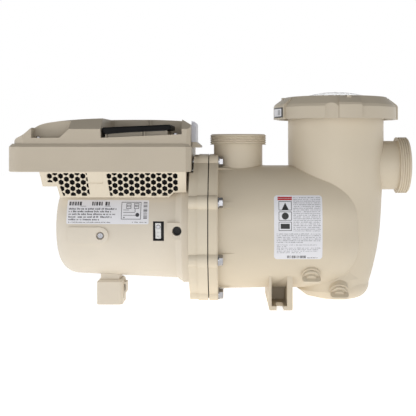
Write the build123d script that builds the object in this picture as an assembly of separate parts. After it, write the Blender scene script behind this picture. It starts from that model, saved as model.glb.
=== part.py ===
from build123d import *
import os
from math import cos, pi, radians, sin, sqrt

# Variable-speed circulation pump for a pool: a vertical strainer pot with a clamped clear lid, a
# volute with a vertical discharge port, an eight-bolt seal plate, and a motor with an electronic
# drive on top of it. Millimetres. +X runs along the shaft from the motor to the suction port,
# +Z is up and Z = 0 is the slab that the feet stand on.

# ---------------------------------------------------------------- driving dimensions
AXIS_Z = 130.0              # height of the shaft above the slab
FOOT_HALF_WIDTH = 78.0

# bolted joint between seal plate and volute
SEAM_X = -7.2               # middle of the gasket
GASKET = 1.6
SEAL_BACK_X = -38.0
FLANGE_FRONT_X = 8.5
FLANGE_R = 121.0
LOBE_R = 12.5
LOBE_CENTRE_R = 116.0
BOLT_CIRCLE_R = 118.0
BOLT_R = 4.75               # 3/8 in bolts
BOLT_COUNT = 8
BOLT_START_ANGLE = 22.5

# volute and pot
BODY_FLANGE_HALF = 105.5
BODY_HALF = 101.5
BODY_CORNER_R = 85.0
BODY_PRISM_X = 90.0
BODY_END_X = 246.0
BODY_END_R = 70.0
WALL = 6.5
POT_X = 207.0
POT_R = 80.5
POT_TOP_Z = 326.0
POT_BOTTOM_Z = 8.5
EYE_WALL_X = 92.0
EYE_SOCKET_R = 36.3

# ports: 2 in union threads outside, plain bore inside
PORT_BORE_R = 34.0
PORT_NECK_R = 41.2
PORT_THREAD_R = 47.4
THREAD_PITCH = 3.6
THREAD_DEPTH = 1.7
DISCHARGE_X = 41.5
DISCHARGE_TOP_Z = 284.4
DISCHARGE_THREAD = 17.6
SUCTION_Z = 232.0
SUCTION_FACE_X = 328.0
SUCTION_THREAD = 18.4

# lid and clamp ring
RING_R = 101.5
RING_LOBE_R = 105.0
RING_BOTTOM_Z = 309.0
RING_EDGE_Z = 331.5
RING_TOP_Z = 346.0
RING_TOP_R = 88.0
LENS_R = 68.0
LID_TOP_Z = 356.0
LUG_COUNT = 4
LABEL_ANGLE = 196.5         # middle of the ring's label, degrees round the pot from +X
LABEL_SPAN = 23.0
RING_LOBE_SHIFT = 6.5       # the grip lobes sit this many degrees off the port directions

# motor
MOTOR_REAR_X = -258.0
MOTOR_REAR_R = 80.0
MOTOR_FRONT_R = 88.0
FLARE_X = -60.0
FLARE_R = 95.5
MOTOR_EDGE_R = 34.0
MOTOR_WALL = 4.5
FOOT_X0 = -195.0            # motor foot
FOOT_X1 = -152.0
SHAFT_R = 8.0

# drive
DRIVE_LEFT_X = -328.0
DRIVE_RIGHT_X = -34.5
DRIVE_HALF = 105.0
TRAY_BOTTOM_Z = 223.5
TRAY_TOP_Z = 260.0
COVER_BOTTOM_Z = 261.2       # the gasket is 1.2 thick
GASKET_INSET = 1.2          # a lip of the cover hides the gasket
COVER_HALF = 100.0
COVER_LEFT_X = -320.0
CREST_Z = 310.0
SHELL = 3.5
CONDUIT = (-90.0, 242.0)    # (x, z) of the wiring entry in the far side of the tray
CONDUIT_R = 10.6
CONDUIT_LENGTH = 12.0

COVER_SCREWS = (             # (x, y, z) of the seat of each screw head
    (-279.5, -84.0, 277.5),
    (-279.5, 84.0, 277.5),
    (-59.0, -88.0, 282.9),
    (-59.0, 26.0, 282.9),
)

# keypad deck, sunk in the drive cover and tilted 2.5 degrees
DECK_X = -113.2
DECK_Z = 280.3
DECK_TILT = -2.5
DECK_HALF = 64.4
DECK_BACK_Y = 32.0
HINGE_Y = 12.0
HINGE_Z = 11.0
FLAP_X0 = -62.6
FLAP_X1 = 47.7
FLAP_FRONT_Y = -96.0
FLAP_BOTTOM = 8.2
FLAP_TOP = 16.4
FLAP_LIP = 2.8              # extra depth of the front lip at its low end
HINGE_LUGS = (-46.0, 28.0)

# ventilated shroud
HEX_FLATS = 8.2
HEX_PITCH = 10.15

CLEAR = 0.3                 # running gap between separate bodies


# ---------------------------------------------------------------- helpers
def cyl_x(radius, x0, x1, y=0.0, z=AXIS_Z):
    return Pos((x0 + x1) / 2, y, z) * Rot(0, 90, 0) * Cylinder(radius, abs(x1 - x0))


def cyl_y(radius, y0, y1, x, z):
    return Pos(x, (y0 + y1) / 2, z) * Rot(90, 0, 0) * Cylinder(radius, abs(y1 - y0))


def cyl_z(radius, z0, z1, x=0.0, y=0.0):
    return Pos(x, y, (z0 + z1) / 2) * Cylinder(radius, abs(z1 - z0))


def tube_x(outer, inner, x0, x1, z=AXIS_Z):
    return cyl_x(outer, x0, x1, 0, z) - cyl_x(inner, x0 - 1, x1 + 1, 0, z)


def tube_z(outer, inner, z0, z1, x=0.0, y=0.0):
    return cyl_z(outer, z0, z1, x, y) - cyl_z(inner, z0 - 1, z1 + 1, x, y)


def block(x0, x1, y0, y1, z0, z1):
    size = (x1 - x0, y1 - y0, z1 - z0)
    return Pos((x0 + x1) / 2, (y0 + y1) / 2, (z0 + z1) / 2) * Box(*size)


def outline_xz(points):
    """A closed face in the plane Y = 0 from (x, z) corners."""
    return make_face(Plane.XZ * Polyline(*points, close=True))


def slab_xz(points, y0, y1):
    """The outline swept from y0 to y1."""
    return Pos(0, y0, 0) * extrude(outline_xz(points), y1 - y0, dir=(0, 1, 0))


def slab_yz(points, x0, x1):
    """An outline of (y, z) corners swept from x0 to x1."""
    face = make_face(Plane.YZ * Polyline(*points, close=True))
    return Pos(x0, 0, 0) * extrude(face, x1 - x0, dir=(1, 0, 0))


def turned_x(points):
    """(x, radius) corners turned about the shaft axis."""
    return Pos(0, 0, AXIS_Z) * revolve(outline_xz(points), Axis.X)


def turned_z(points, x=0.0, y=0.0):
    """(radius, z) corners turned about a vertical axis."""
    return Pos(x, y, 0) * revolve(outline_xz(points), Axis.Z)


def turned_curve_z(wires, x=0.0):
    """A profile of joined curves in the plane Y = 0, turned about a vertical axis."""
    return Pos(x, 0, 0) * revolve(make_face(Plane.XZ * wires), Axis.Z)


def ring_places(radius, count, start):
    """(y, z) of places evenly round the shaft axis."""
    places = []
    for index in range(count):
        angle = radians(start + index * 360 / count)
        places.append((radius * cos(angle), AXIS_Z + radius * sin(angle)))
    return places


def deck(solid):
    """Puts a piece from the keypad deck's own axes into the pump's."""
    return Pos(DECK_X, 0, DECK_Z) * Rot(0, DECK_TILT, 0) * solid


def one(shape):
    """The single solid of a result."""
    solids = shape.solids()
    return max(solids, key=lambda solid: solid.volume) if len(solids) > 1 else solids[0]


def save(name, shape):
    if isinstance(shape, (list, tuple)):
        shape = Compound(children=list(shape))
    shape.label = name
    export_step(shape, f"parts/{name}.step")
    print(f"{name:28s} solids {len(shape.solids())}  volume {shape.volume:12.1f}")


# ---------------------------------------------------------------- volute, pot and ports
def body_section(half, corner):
    return Plane.YZ * RectangleRounded(2 * half, 2 * half, corner)


def body_prism(half, corner, x0, x1, end_r):
    """The rounded-square part of the volute with its domed end."""
    prism = Pos(x0, 0, AXIS_Z) * extrude(body_section(half, corner), x1 - x0)
    end_edges = prism.faces().sort_by(Axis.X)[-1].edges()
    return fillet(end_edges, end_r)


def pot_wire(offset):
    """Side of the pot from its rim down to the middle of its floor, drawn in by offset."""
    top = POT_TOP_Z
    side = Line((POT_R - offset, top), (POT_R - offset, 252))
    belly = Spline(
        (POT_R - offset, 252),
        (77.5 - offset, 186),
        (72.5 - offset, 112),
        (65.5 - offset, 74),
        (55.5 - offset, 36),
        tangents=((0, -1), (-0.33, -1)),
    )
    floor = ThreePointArc(
        (55.5 - offset, 36),
        (48.5 - offset * 0.8, 17.0 + offset * 0.8),
        (32 - offset * 0.4, POT_BOTTOM_Z + 1 + offset),
    )
    base = Line((32 - offset * 0.4, POT_BOTTOM_Z + 1 + offset), (0, POT_BOTTOM_Z + offset))
    axis = Line((0, POT_BOTTOM_Z + offset), (0, top))
    lid = Line((0, top), (POT_R - offset, top))
    return Curve() + [side, belly, floor, base, axis, lid]


def sump(offset):
    """The wider lower end of the pot, which blends into the volute's underside."""
    corners = [
        (0, POT_BOTTOM_Z + offset),
        (26, POT_BOTTOM_Z + 1.2 + offset),
        (43, POT_BOTTOM_Z + 5.5 + offset),
        (57 - offset, 25 + offset * 0.6),
        (64 - offset, 46),
        (66 - offset, 80),
        (60 - offset, 120),
        (0, 120),
    ]
    return turned_z(corners, POT_X - 9)


def thread(radius, length, along):
    """Corners (radius, distance) of a port thread: rings of trapezoid section, chamfered ends."""
    root = radius - THREAD_DEPTH
    corners = [(root - 6, 0), (root - 0.8, 0), (root, 0.9)]
    count = int((length - 2.2) / THREAD_PITCH)
    start = 1.2
    for index in range(count):
        base = start + index * THREAD_PITCH
        corners += [
            (root, base),
            (radius, base + 0.9),
            (radius, base + THREAD_PITCH - 1.3),
            (root, base + THREAD_PITCH - 0.4),
        ]
    corners += [(root, length - 1.6), (radius, length - 1.2), (radius, length), (root - 6, length)]
    unique = []
    for corner in corners:
        if not unique or abs(corner[0] - unique[-1][0]) + abs(corner[1] - unique[-1][1]) > 0.01:
            unique.append(corner)
    return [(r, along - d) for r, d in unique]


def flange_disc(x0, x1, lobe=LOBE_R, disc=FLANGE_R, edge=1.2):
    """Bolting flange: a disc with one lobe at each bolt."""
    sketch = Circle(disc)
    for index in range(BOLT_COUNT):
        angle = BOLT_START_ANGLE + index * 360 / BOLT_COUNT
        sketch += Rot(0, 0, angle) * Pos(LOBE_CENTRE_R, 0) * Circle(lobe)
    solid = Pos(x0, 0, AXIS_Z) * extrude(Plane.YZ * sketch, x1 - x0)
    if edge:
        solid = chamfer(solid.faces().sort_by(Axis.X)[-1].edges(), edge)
    return solid


def bolt_holes(x0, x1, radius):
    places = ring_places(BOLT_CIRCLE_R, BOLT_COUNT, BOLT_START_ANGLE)
    return [cyl_x(radius, x0, x1, y, z) for y, z in places]


def gussets():
    """Long tapering ribs that run back from the flange along the volute, one behind each bolt."""
    ribs = []
    for index in range(BOLT_COUNT):
        angle = BOLT_START_ANGLE + index * 360 / BOLT_COUNT
        foot = FLANGE_FRONT_X - 1
        rib = slab_xz([(foot, 96), (foot, 108.5), (22, 107.5), (62, 102), (62, 96)], -5, 5)
        rib = chamfer(rib.edges().filter_by(Axis.Y).sort_by(Axis.Z)[-1:], 0.6)
        ribs.append(Pos(0, 0, AXIS_Z) * Rot(90 - angle, 0, 0) * rib)
    return ribs


def volute_foot():
    """Front foot: a box open at both ends, with a bolt slot at each end of its floor."""
    half = FOOT_HALF_WIDTH
    foot = block(90.5, 128.4, -half, half, 0, 60)
    foot = fillet(foot.edges().filter_by(Axis.Y).sort_by(Axis.Z)[:2], 2.0)
    for sign in (-1, 1):
        y0, y1 = sorted((sign * 10, sign * (half + 1)))
        foot -= block(94.5, 119.6, y0, y1, 6.5, 70)
        y0, y1 = sorted((sign * 46, sign * (half + 1)))
        foot -= block(102.6, 114.0, y0, y1, -1, 8)
        foot -= cyl_z(5.7, -1, 8, 108.3, sign * 46)
    return foot


def sector(half_angle, z0, z1, reach=170.0):
    """Wedge about +X with its edge on the Z axis, half_angle degrees to each side."""
    half = radians(half_angle)
    far = (reach * cos(half), reach * sin(half))
    wedge = make_face(Polyline((0, 0), (far[0], -far[1]), far, close=True))
    return Pos(0, 0, z0) * extrude(wedge, z1 - z0, dir=(0, 0, 1))


def pot_lugs(z0, z1, inner, outer, span, shift):
    """Equal sectors round the pot axis."""
    lug = tube_z(outer, inner, z0, z1) & sector(span / 2, z0 - 1, z1 + 1)
    turns = [shift + index * 360 / LUG_COUNT for index in range(LUG_COUNT)]
    return [Pos(POT_X, 0, 0) * Rot(0, 0, turn) * lug for turn in turns]


PLUG_1 = ((157.5, -84.0, 57.0), 38.0)      # seat centre on the volute, tilt below horizontal
PLUG_2 = ((205.0, -62.0, 28.0), 38.0)      # seat centre on the pot


def along_plug(plug, solid):
    """A piece drawn with its axis along +Z from the seat outwards, put in its place."""
    (x, y, z), tilt = plug
    return Pos(x, y, z) * Rot(90 + tilt, 0, 0) * solid


def pump_housing():
    start = Pos(FLANGE_FRONT_X - 2, 0, AXIS_Z) * body_section(BODY_FLANGE_HALF, BODY_FLANGE_HALF - 0.4)
    end = Pos(BODY_PRISM_X, 0, AXIS_Z) * body_section(BODY_HALF, BODY_CORNER_R)
    body = loft([start, end], ruled=True)
    body += body_prism(BODY_HALF, BODY_CORNER_R, BODY_PRISM_X, BODY_END_X, BODY_END_R)
    body += flange_disc(SEAM_X + GASKET / 2, FLANGE_FRONT_X, edge=2.0)
    for rib in gussets():
        body += rib
    pot = turned_curve_z(pot_wire(0), POT_X)
    body += pot
    body += sump(0)
    body += volute_foot()
    neck_top = DISCHARGE_TOP_Z - DISCHARGE_THREAD
    body += cyl_z(PORT_NECK_R, AXIS_Z + 80, neck_top + 1, DISCHARGE_X)
    body += turned_z(thread(PORT_THREAD_R, DISCHARGE_THREAD, DISCHARGE_TOP_Z), DISCHARGE_X)
    neck_end = SUCTION_FACE_X - SUCTION_THREAD
    body += cyl_x(PORT_NECK_R, POT_X + 40, neck_end + 1, 0, SUCTION_Z)
    collar = [(d, r) for r, d in thread(PORT_THREAD_R, SUCTION_THREAD, SUCTION_FACE_X)]
    body += Pos(0, 0, SUCTION_Z) * revolve(outline_xz(collar), Axis.X)
    for plug in (PLUG_1, PLUG_2):
        body += along_plug(plug, cyl_z(15.5, -22, 0))
    body += tube_z(86.5, POT_R - WALL, 314, 318.5, POT_X)
    for lug in pot_lugs(314, 318.5, 80, 93.6, 44, RING_LOBE_SHIFT):
        body += lug

    body -= turned_x([(SEAM_X - 5, 0), (SEAM_X - 5, 99), (EYE_WALL_X, 95), (EYE_WALL_X, 0)])
    body -= body_prism(BODY_HALF - WALL, BODY_CORNER_R - WALL, EYE_WALL_X + 6, BODY_END_X - WALL,
                       BODY_END_R - WALL)
    body -= turned_curve_z(pot_wire(WALL), POT_X)
    body -= cyl_z(POT_R - WALL, 300, POT_TOP_Z + 1, POT_X)
    body -= sump(WALL)
    ledge = tube_z(POT_R - WALL + 1, 66.0, 246, 251, POT_X)
    body += ledge - block(POT_X + 50, POT_X + 90, -36.5, 36.5, 240, 260)
    body -= cyl_x(EYE_SOCKET_R, EYE_WALL_X - 1, EYE_WALL_X + 8)
    body -= cyl_z(PORT_BORE_R, AXIS_Z + 80, DISCHARGE_TOP_Z + 1, DISCHARGE_X)
    body -= cyl_x(PORT_BORE_R, POT_X + 40, SUCTION_FACE_X + 1, 0, SUCTION_Z)
    for hole in bolt_holes(SEAM_X - 2, FLANGE_FRONT_X + 2, BOLT_R + 0.35):
        body -= hole
    for plug in (PLUG_1, PLUG_2):
        body -= along_plug(plug, cyl_z(7.6, -45, 1))
        body -= along_plug(plug, cyl_z(11.2, -3.2, 1))
    return one(body)


# ---------------------------------------------------------------- seal plate and bolts
def seal_plate():
    plate = flange_disc(-24, SEAM_X - GASKET / 2, edge=0)
    plate += flange_disc(SEAL_BACK_X, -24, lobe=LOBE_R - 1.5, disc=FLANGE_R - 1, edge=0)
    plate -= block(-40, -31.5, -130, 130, 221.5, 270)
    plate -= cyl_x(90, -20, SEAM_X + 2)
    plate -= cyl_x(86, SEAL_BACK_X - 1, -28)
    plate -= cyl_x(17.4, -60, 0)
    plate += tube_x(30, 17.4, -44, -12)
    plate -= cyl_x(19.05, -45, -34.0)
    for hole in bolt_holes(-34, SEAM_X + 2, BOLT_R + 0.05):
        plate -= hole
    return one(plate)


def gasket():
    ring = flange_disc(SEAM_X - GASKET / 2, SEAM_X + GASKET / 2, lobe=8.5, disc=113.5, edge=0)
    ring -= cyl_x(101, SEAM_X - 2, SEAM_X + 2)
    for hole in bolt_holes(SEAM_X - 3, SEAM_X + 3, BOLT_R + 0.35):
        ring -= hole
    return one(ring)


def hex_head(across_flats, height):
    return extrude(RegularPolygon(across_flats / 2, 6, major_radius=False), height)


def flange_bolts():
    bolts = []
    for y, z in ring_places(BOLT_CIRCLE_R, BOLT_COUNT, BOLT_START_ANGLE):
        head = hex_head(14.3, 6.2)
        head = chamfer(head.faces().sort_by(Axis.Z)[-1].edges(), 0.9)
        shank = Pos(0, 0, -22) * Cylinder(BOLT_R, 44)
        bolt = head + shank
        bolts.append(Pos(FLANGE_FRONT_X + 2.0, y, z) * Rot(0, 90, 0) * bolt)
    return bolts


def flange_washers():
    rings = []
    for y, z in ring_places(BOLT_CIRCLE_R, BOLT_COUNT, BOLT_START_ANGLE):
        washer = Cylinder(9.2, 2.0) - Cylinder(BOLT_R + 0.05, 4)
        rings.append(Pos(FLANGE_FRONT_X + 1.0, y, z) * Rot(0, 90, 0) * washer)
    return rings


def seal_seat():
    return one(tube_x(17.4, 9.4, -18, -12.5))


# ---------------------------------------------------------------- lid, ring and basket
def dome_radius(rise, radius):
    """Radius of the sphere whose cap has this rise over a circle of this radius."""
    return (radius * radius + rise * rise) / (2 * rise)


def strainer_lid():
    lid = turned_z([(0, 326), (88.5, 326), (88.5, 334.5), (LENS_R + 0.2, 334.5), (LENS_R + 0.2, 343),
                    (0, 343)], POT_X)
    sphere_r = dome_radius(LID_TOP_Z - 343, LENS_R)
    cap = Pos(POT_X, 0, LID_TOP_Z - sphere_r) * Sphere(sphere_r)
    lid += cap & cyl_z(LENS_R, 342.5, LID_TOP_Z + 1, POT_X)
    inner = Pos(POT_X, 0, LID_TOP_Z - 5 - sphere_r) * Sphere(sphere_r)
    hollow = (inner & cyl_z(61, 338, LID_TOP_Z, POT_X)) + cyl_z(61, 325, 338.5, POT_X)
    lid -= hollow
    skirt = tube_z(71.0, 61, 312, 327, POT_X)
    skirt -= tube_z(72, 68.4, 317, 322, POT_X)
    lid += skirt
    return one(lid)


def lid_o_ring():
    return Pos(POT_X, 0, 319.5) * Torus(71.35, 2.35)


def clamp_ring():
    skirt = [
        (96.5, RING_BOTTOM_Z), (RING_R, RING_BOTTOM_Z), (RING_R, RING_EDGE_Z - 3),
        (RING_R - 2.6, RING_EDGE_Z + 1.5), (RING_TOP_R, RING_TOP_Z - 2.4), (RING_TOP_R - 2.5, RING_TOP_Z),
        (LENS_R + 1.0, RING_TOP_Z), (LENS_R + 1.0, 335.2), (89.6, 335.2), (89.6, 325.4), (96.5, 325.4),
    ]
    ring = turned_z(skirt, POT_X)
    lobe = [
        (RING_R - 3, RING_BOTTOM_Z), (RING_LOBE_R, RING_BOTTOM_Z), (RING_LOBE_R, RING_EDGE_Z - 1),
        (RING_LOBE_R - 2, RING_EDGE_Z + 2.6), (RING_TOP_R + 2, RING_TOP_Z - 2.2),
        (RING_TOP_R - 1.5, RING_TOP_Z - 1.0), (RING_TOP_R - 8, RING_TOP_Z - 3), (RING_TOP_R - 8, 338),
        (RING_R - 3, 334),
    ]
    scallop = cyl_z(20.2, RING_BOTTOM_Z - 1, RING_TOP_Z, RING_R + 17.0)
    for index in range(LUG_COUNT):
        middle = RING_LOBE_SHIFT + index * 90
        grip = turned_z(lobe) & sector(10.2, 300, 360)
        tab = block(RING_TOP_R - 2, RING_TOP_R + 4.5, -3.6, 3.6, RING_TOP_Z - 6, RING_TOP_Z - 0.6)
        ring -= Pos(POT_X, 0, 0) * Rot(0, 0, middle - 17.3) * scallop
        ring += Pos(POT_X, 0, 0) * Rot(0, 0, middle) * (grip + tab)
    seat = turned_z(lobe) & sector(LABEL_SPAN / 2 + 1.5, 300, 360)
    ring += Pos(POT_X, 0, 0) * Rot(0, 0, LABEL_ANGLE) * seat
    for lug in pot_lugs(RING_BOTTOM_Z + 0.8, RING_BOTTOM_Z + 4.4, 88.6, 97, 26, RING_LOBE_SHIFT):
        ring += lug
    return one(ring)


def ring_label():
    """Small plate stuck on the seat beside the grip lobe that faces the motor."""
    plate = tube_z(RING_LOBE_R + 0.35, RING_LOBE_R, 311.5, 328)
    return one(Pos(POT_X, 0, 0) * Rot(0, 0, LABEL_ANGLE) * (plate & sector(LABEL_SPAN / 2, 300, 340)))


def strainer_basket():
    outer = [(0, 116), (53, 116), (61, 240), (65.2, 251.4), (72.8, 251.4), (72.8, 254.8), (62.6, 254.8),
             (58.2, 241), (50.4, 119), (0, 119)]
    shell = turned_z(outer)
    slots = []
    columns = 20
    for row in range(6):
        for column in range(columns):
            slot = block(40, 80, -4.6, 4.6, 126 + row * 18.5, 139 + row * 18.5)
            slots.append(Rot(0, 0, column * 360 / columns) * slot)
    for ring_r, count in ((38, 12), (22, 6)):
        for column in range(count):
            slots.append(Rot(0, 0, column * 360 / count) * cyl_z(5.2, 110, 125, ring_r))
    shell -= slots
    grip = block(-61, 61, -3, 3, 247, 252) & cyl_z(62.5, 240, 260)
    shell += grip
    shell += cyl_z(12, 242, 252)
    shell -= cyl_x(PORT_BORE_R + 1.5, 40, 90, 0, SUCTION_Z)
    return Pos(POT_X, 0, 0) * one(shell)


# ---------------------------------------------------------------- drain plugs
def plug_parts(plug):
    """(plug, o_ring): a thumb-wing plug with its thread in the boss, and the ring under its flange."""
    flange = cyl_z(12.4, 0.6, 4.2)
    flange = chamfer(flange.faces().sort_by(Axis.Z)[-1].edges(), 0.8)
    hub = cyl_z(8.2, 4.2, 8.5)
    wing = block(-14.5, 14.5, -2.4, 2.4, 4.2, 15.5)
    wing = fillet(wing.edges().filter_by(Axis.Y).sort_by(Axis.Z)[-2:], 5.0)
    stem = cyl_z(7.3, -13, 0.6)
    stem -= Pos(0, 0, -1.6) * (Cylinder(9, 3.4) - Cylinder(6.2, 3.4))
    body = flange + hub + wing + stem
    o_ring = Pos(0, 0, -1.6) * Torus(8.6, 1.5)
    return one(along_plug(plug, body)), along_plug(plug, o_ring)


# ---------------------------------------------------------------- motor
def motor_solid(inset, front_x, front_r):
    """The motor's outer form drawn in by inset, closed at front_x with a collar of radius front_r."""
    rear = MOTOR_REAR_X + inset
    radius = MOTOR_REAR_R - inset
    edge = MOTOR_EDGE_R - inset
    bend = sqrt(0.5) * edge
    middle = (rear + edge - bend, radius - edge + bend)
    wires = Curve() + [
        Line((rear, 0), (rear, radius - edge)),
        ThreePointArc((rear, radius - edge), middle, (rear + edge, radius)),
        Line((rear + edge, radius), (FLARE_X, MOTOR_FRONT_R - inset)),
        Line((FLARE_X, MOTOR_FRONT_R - inset), (FLARE_X + 10, front_r)),
        Line((FLARE_X + 10, front_r), (front_x, front_r)),
        Line((front_x, front_r), (front_x, 0)),
        Line((front_x, 0), (rear, 0)),
    ]
    return Pos(0, 0, AXIS_Z) * revolve(make_face(Plane.XZ * wires), Axis.X)


TERMINAL = (-95.8, -78.0, 112.5, 144.0)
BOSS = (-57.0, 129.0)
PAD_SCREW = (-180.6, 120.5)


def side_pad(reach):
    """Outline of the raised pad beside the nameplate, as a slab that runs to Y = -reach."""
    x0, x1 = -233.6, PAD_SCREW[0]
    z0, z1 = 107.8, 134.2
    sketch = Plane.XZ * (Pos((x0 + x1) / 2, (z0 + z1) / 2) * RectangleRounded(x1 - x0, z1 - z0, 5)
                         + Pos(x1 - 6, (z0 + z1) / 2) * Rectangle(12, z1 - z0)
                         + Pos(x1, (z0 + z1) / 2) * Circle((z1 - z0) / 2))
    return extrude(sketch, reach)


def motor_housing():
    shell = motor_solid(0, SEAL_BACK_X, FLARE_R)
    pad = side_pad(120) & motor_solid(-2.6, SEAL_BACK_X, FLARE_R)
    shell += pad & block(-300, 0, -120, -40, 0, 300)
    teardrop = Plane.XZ * (Pos(BOSS[0], BOSS[1]) * Circle(13.5)
                           + Pos(BOSS[0] - 5, BOSS[1] + 5.5) * Rectangle(22, 16))
    shell += extrude(teardrop, 93.5) - cyl_x(70, -260, 0)
    hollow = motor_solid(MOTOR_WALL, SEAL_BACK_X + 1, FLARE_R - MOTOR_WALL)
    shell -= hollow
    x0, x1, z0, z1 = TERMINAL
    boxed = block(x0 - 2.5, x1 + 2.5, -86, -70, z0 - 2.5, z1 + 2.5)
    shell += boxed & motor_solid(0, SEAL_BACK_X, FLARE_R)
    shell -= block(x0, x1, -100, -73, z0, z1)
    shell -= cyl_y(7.5, -100, -84, *BOSS)
    shell -= cyl_y(3.2, -100, -60, *BOSS)
    shell -= cyl_y(6.6, -100, -79.5, *PAD_SCREW)
    shell += cyl_y(8, -79.5, -70, *PAD_SCREW) - cyl_x(74, -260, 0)
    shell -= cyl_y(2.6, -100, -60, *PAD_SCREW)
    for ring_r in (22, 34, 46):
        count = ring_r // 2
        for index in range(count):
            angle = 2 * pi * index / count
            y = ring_r * cos(angle)
            z = AXIS_Z + ring_r * sin(angle)
            shell -= cyl_x(2.4, MOTOR_REAR_X - 2, MOTOR_REAR_X + 8, y, z)
    shell -= block(-226, -90, -50, 50, AXIS_Z + 60, AXIS_Z + 100)
    return one(shell)


def stator_core():
    core = tube_x(62, 37.5, -185, -105)
    slots = 24
    for index in range(slots):
        slot = block(-186, -104, -1.6, 1.6, 40, 54)
        core -= Pos(0, 0, AXIS_Z) * Rot(index * 360 / slots, 0, 0) * slot
    return one(core)


def stator_windings():
    ends = []
    for x0, x1 in ((-200, -185), (-105, -90)):
        coil = tube_x(58, 41, x0, x1)
        ends.append(fillet(coil.edges().filter_by(GeomType.CIRCLE), 3))
    return ends


def stator_frame():
    """Aluminium tube that holds the stator inside the moulded shell, on webs to the end bells."""
    frame = tube_x(66.5, 62, -205, -46)
    frame += tube_x(66.5, 19.2, -209, -205)
    frame += tube_x(24, 19.05, -209, -196)
    frame += tube_x(85.5, 62, -50, -45)
    for index in range(12):
        fin = block(-200, -60, -1.5, 1.5, 66, 69.5)
        frame += Pos(0, 0, AXIS_Z) * Rot(15 + index * 30, 0, 0) * fin
    frame += tube_x(89.5, 66, SEAL_BACK_X - 9, SEAL_BACK_X)
    return one(frame)


def bearing(x0, x1):
    """Outer race, with its balls and cage as one sealed ring."""
    return one(tube_x(19.0, 8.05, x0, x1))


def rotor_shaft():
    shaft = cyl_x(SHAFT_R, -234, 62)
    shaft += cyl_x(11, -194, -186)
    shaft += cyl_x(11, -52, -46.5)
    return one(shaft)


def rotor_core():
    core = tube_x(37.0, SHAFT_R, -184, -106)
    core += tube_x(36, 24, -190, -184)
    core += tube_x(36, 24, -106, -100)
    return one(core)


def cooling_fan():
    fan = tube_x(16, SHAFT_R, -232, -216)
    fan += tube_x(58, SHAFT_R, -217, -214)
    for index in range(9):
        blade = block(-230, -216, -1.2, 1.2, 14, 57)
        fan += Pos(0, 0, AXIS_Z) * Rot(index * 40, 0, 0) * blade
    return one(fan)


def seal_head():
    return one(tube_x(15.5, SHAFT_R, -12.2, 3.0))


def impeller():
    """Closed impeller: hub, back shroud, seven curved vanes, front shroud with the eye ring."""
    hub = tube_x(16, SHAFT_R, 3.0, 34)
    wheel = hub + tube_x(64, 15, 20, 24)
    wheel += tube_x(64, 27, 36, 39)
    wheel += tube_x(30.0, 27, 38, 60)
    for index in range(7):
        arc = ThreePointArc((0, 24), (14, 42), (36, 52))
        vane = trace(arc, 2.6)
        vane = extrude(Plane.YZ * vane, 12.5, dir=(1, 0, 0))
        vane = Pos(23.8, 0, AXIS_Z) * Rot(index * 360 / 7, 0, 0) * vane
        wheel += vane & cyl_x(63.5, 20, 40)
    return one(wheel)


def impeller_nut():
    """Cap nut that holds the impeller on the shaft."""
    nut = Pos(34, 0, AXIS_Z) * Rot(0, 90, 0) * hex_head(19, 8)
    nut += cyl_x(11, 42, 46)
    nut += cyl_x(9.5, 42, 66)
    nut -= cyl_x(SHAFT_R, 30, 62)
    return one(nut)


def diffuser():
    """Cup round the impeller, open to the volute at its rim, with a neck into the eye wall."""
    cup = turned_x([
        (-20, 70), (-20, 74), (60, 74), (70, 42), (84, 36), (98, 36), (98, 31.2), (68, 31.2), (57, 70),
    ])
    for index in range(10):
        cup -= Pos(0, 0, AXIS_Z) * Rot(index * 36, 0, 0) * block(18, 46, -7, 7, 60, 80)
    return one(cup)


def diffuser_o_ring():
    return Pos(EYE_WALL_X - 1.2, 0, AXIS_Z) * Rot(0, 90, 0) * Torus(38.6, 1.2)


# ---------------------------------------------------------------- motor fittings
def nameplate():
    inner = motor_solid(0, SEAL_BACK_X, FLARE_R)
    outer = motor_solid(-0.35, SEAL_BACK_X, FLARE_R)
    sketch = Plane.XZ * (Pos(-169.3, 158.2) * RectangleRounded(133.2, 37.8, 2))
    return one((extrude(sketch, 120) & outer) - inner)


def terminal_liner():
    x0, x1, z0, z1 = TERMINAL
    wall = 1.2
    liner = block(x0, x1, -82, -73, z0, z1)
    liner -= block(x0 + wall, x1 - wall, -90, -73 - wall, z0 + wall, z1 - wall)
    return one(liner)


def bonding_lug():
    middle = (TERMINAL[0] + TERMINAL[1]) / 2
    lug = block(middle - 5.6, middle + 3.4, -76.2, -74.2, 115.5, 140.5)
    lug += block(middle - 5.6, middle + 3.4, -79.8, -76.2, 128.0, 140.5)
    lug += block(middle - 4.0, middle + 3.4, -78.8, -76.2, 115.5, 125)
    lug -= cyl_y(2.7, -90, -74, middle - 1, 134.5)
    lug -= cyl_y(2.1, -90, -76.0, middle - 0.4, 120.3)
    return one(lug)


def pan_screw(radius, head, length, recess=True):
    """Pan-head screw drawn along +Z with the seat of its head at Z = 0."""
    screw = Cylinder(radius, head)
    screw = Pos(0, 0, head / 2) * screw
    screw = fillet(screw.faces().sort_by(Axis.Z)[-1].edges(), min(head, radius) * 0.45)
    screw += Pos(0, 0, -length / 2) * Cylinder(radius * 0.5, length)
    if recess:
        bar = Box(radius * 1.15, radius * 0.28, head)
        screw -= Pos(0, 0, head) * (bar + Rot(0, 0, 90) * bar)
    return screw


def motor_screws():
    middle = (TERMINAL[0] + TERMINAL[1]) / 2
    x, z = PAD_SCREW
    lug_screw = Pos(middle - 1, -79.8, 134.5) * Rot(90, 0, 0) * pan_screw(3.6, 1.8, 5.0)
    pad_screw = Pos(x, -79.5, z) * Rot(90, 0, 0) * pan_screw(5.0, 2.6, 8)
    return [lug_screw, pad_screw]


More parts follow.
